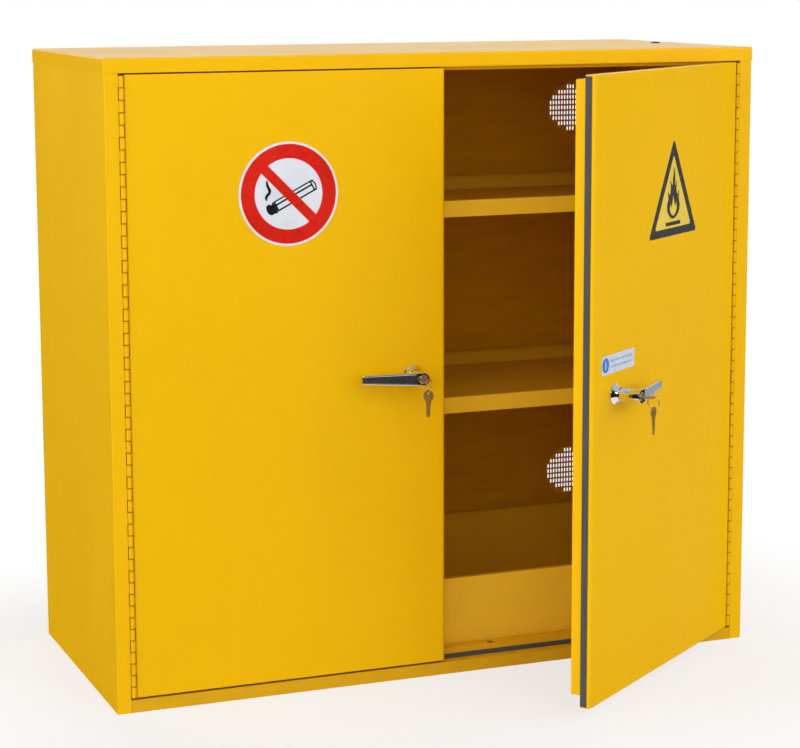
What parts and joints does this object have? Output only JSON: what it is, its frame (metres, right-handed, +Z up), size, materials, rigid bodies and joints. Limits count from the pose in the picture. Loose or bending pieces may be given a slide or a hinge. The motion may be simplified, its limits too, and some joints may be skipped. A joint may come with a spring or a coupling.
{
  "type": "flammable storage cabinet",
  "caption": "Double-walled steel cabinet for flammable liquids: two hinged doors, one ajar, locking levers and rods, retention shelves, a base sump and back vents.",
  "frame": {"origin": "centre of the footprint on the floor", "axes": "+Z up, front with the doors faces -Y, +X to the right seen from the front"},
  "size_m": [1.2, 0.8777, 1.1029],
  "materials": {
    "yellow_powder_coat": "fine orange-peel powder coat",
    "yellow_inner_coat": "fine orange-peel powder coat",
    "chrome": "polished",
    "dark_inlay": "satin",
    "zinc_steel": "zinc plated",
    "nickel_key": "nickel plated, worn",
    "lock_brass": "nickel plated",
    "seal_strip": "matt",
    "mineral_board": "matt fibrous",
    "sign_white": "vinyl",
    "sign_yellow": "vinyl",
    "sign_red": "vinyl",
    "sign_dark": "vinyl",
    "sign_blue": "vinyl",
    "label_pale": "vinyl",
    "black_plastic": "moulded"
  },
  "bodies": {
    "carcass": {"side_panel_left": "yellow_powder_coat", "side_panel_right": "yellow_powder_coat", "back_panel": "yellow_powder_coat", "floor_panel": "yellow_inner_coat", "floor_stiffener": "yellow_inner_coat", "top_lid": "yellow_powder_coat", "lid_plug": "black_plastic", "bottom_rail": "yellow_powder_coat", "top_rail": "yellow_powder_coat", "frame_seals": "seal_strip", "sump_tray": "yellow_inner_coat", "shelf_upper": "yellow_inner_coat", "shelf_lower": "yellow_inner_coat", "rack_strips_left": "yellow_inner_coat", "rack_strips_right": "yellow_inner_coat", "shelf_clips": "zinc_steel", "vent_grille_upper": "yellow_powder_coat", "vent_grille_lower": "yellow_powder_coat", "hinge_leaf_frame_left": "yellow_powder_coat", "hinge_leaf_frame_right": "yellow_powder_coat", "hinge_pin_left": "zinc_steel", "hinge_pin_right": "zinc_steel", "rod_keepers": "zinc_steel"},
    "door_left": {"door_skin_left": "yellow_powder_coat", "door_inner_pan_left": "yellow_powder_coat", "door_insulation_left": "mineral_board", "lock_case_left": "zinc_steel", "rod_guides_left": "zinc_steel", "handle_rose_left": "chrome", "hinge_leaf_door_left": "yellow_powder_coat", "no_smoking_sign": "sign_white"},
    "handle_left": {"handle_lever_left": "chrome", "lever_inlay_left": "dark_inlay", "lock_spindle_left": "zinc_steel"},
    "lock_left": {"lock_barrel_left": "lock_brass", "key_in_lock_left": "nickel_key"},
    "keys_left": {"key_ring_left": "nickel_key", "spare_key_left": "nickel_key"},
    "rod_top_left": {"rod_upper_left": "zinc_steel"},
    "rod_bottom_left": {"rod_lower_left": "zinc_steel"},
    "door_right": {"door_skin_right": "yellow_powder_coat", "door_inner_pan_right": "yellow_powder_coat", "door_insulation_right": "mineral_board", "lock_case_right": "zinc_steel", "rod_guides_right": "zinc_steel", "handle_rose_right": "chrome", "hinge_leaf_door_right": "yellow_powder_coat", "flammable_sign": "sign_yellow", "notice_label": "label_pale", "edge_seal": "seal_strip"},
    "handle_right": {"handle_lever_right": "chrome", "lever_inlay_right": "dark_inlay", "lock_spindle_right": "zinc_steel"},
    "lock_right": {"lock_barrel_right": "lock_brass", "key_in_lock_right": "nickel_key"},
    "keys_right": {"key_ring_right": "nickel_key", "spare_key_right": "nickel_key"},
    "rod_top_right": {"rod_upper_right": "zinc_steel"},
    "rod_bottom_right": {"rod_lower_right": "zinc_steel"}
  },
  "joints": [
    {"name": "door_left_hinge", "type": "hinge", "parent": "carcass", "child": "door_left", "pos_m": [-0.57, -0.2585, 0.55], "axis": [0, 0, -1], "range_deg": [0, 165]},
    {"name": "handle_left_turn", "type": "hinge", "parent": "door_left", "child": "handle_left", "pos_m": [-0.0615, -0.2785, 0.545], "axis": [0, -1, 0], "range_deg": [0, 90]},
    {"name": "lock_left_turn", "type": "hinge", "parent": "handle_left", "child": "lock_left", "pos_m": [-0.0615, -0.3085, 0.545], "axis": [0, -1, 0], "range_deg": [0, 90]},
    {"name": "keys_left_swing", "type": "hinge", "parent": "lock_left", "child": "keys_left", "pos_m": [-0.0615, -0.3293, 0.546], "axis": [0, -1, 0], "range_deg": [-35, 35]},
    {"name": "rod_top_left_slide", "type": "slide", "parent": "door_left", "child": "rod_top_left", "axis": [0, 0, 1], "range_m": [0, 0.0189]},
    {"name": "rod_bottom_left_slide", "type": "slide", "parent": "door_left", "child": "rod_bottom_left", "axis": [0, 0, -1], "range_m": [0, 0.0189]},
    {"name": "door_right_hinge", "type": "hinge", "parent": "carcass", "child": "door_right", "pos_m": [0.57, -0.2585, 0.55], "axis": [0, 0, 1], "range_deg": [-37, 128]},
    {"name": "handle_right_turn", "type": "hinge", "parent": "door_right", "child": "handle_right", "pos_m": [0.1923, -0.56816, 0.545], "axis": [-0.6018, 0.7986, 0], "range_deg": [0, 90]},
    {"name": "lock_right_turn", "type": "hinge", "parent": "handle_right", "child": "lock_right", "pos_m": [0.21036, -0.59212, 0.545], "axis": [-0.6018, 0.7986, 0], "range_deg": [0, 90]},
    {"name": "keys_right_swing", "type": "hinge", "parent": "lock_right", "child": "keys_right", "pos_m": [0.22287, -0.60873, 0.546], "axis": [-0.6018, 0.7986, 0], "range_deg": [-35, 35]},
    {"name": "rod_top_right_slide", "type": "slide", "parent": "door_right", "child": "rod_top_right", "axis": [0, 0, 1], "range_m": [0, 0.0189]},
    {"name": "rod_bottom_right_slide", "type": "slide", "parent": "door_right", "child": "rod_bottom_right", "axis": [0, 0, -1], "range_m": [0, 0.0189]}
  ],
  "couplings": [
    {"joint": "rod_top_left_slide", "follows": "handle_left_turn", "m_per_rad": 0.012},
    {"joint": "rod_bottom_left_slide", "follows": "handle_left_turn", "m_per_rad": 0.012},
    {"joint": "rod_top_right_slide", "follows": "handle_right_turn", "m_per_rad": 0.012},
    {"joint": "rod_bottom_right_slide", "follows": "handle_right_turn", "m_per_rad": 0.012}
  ]
}
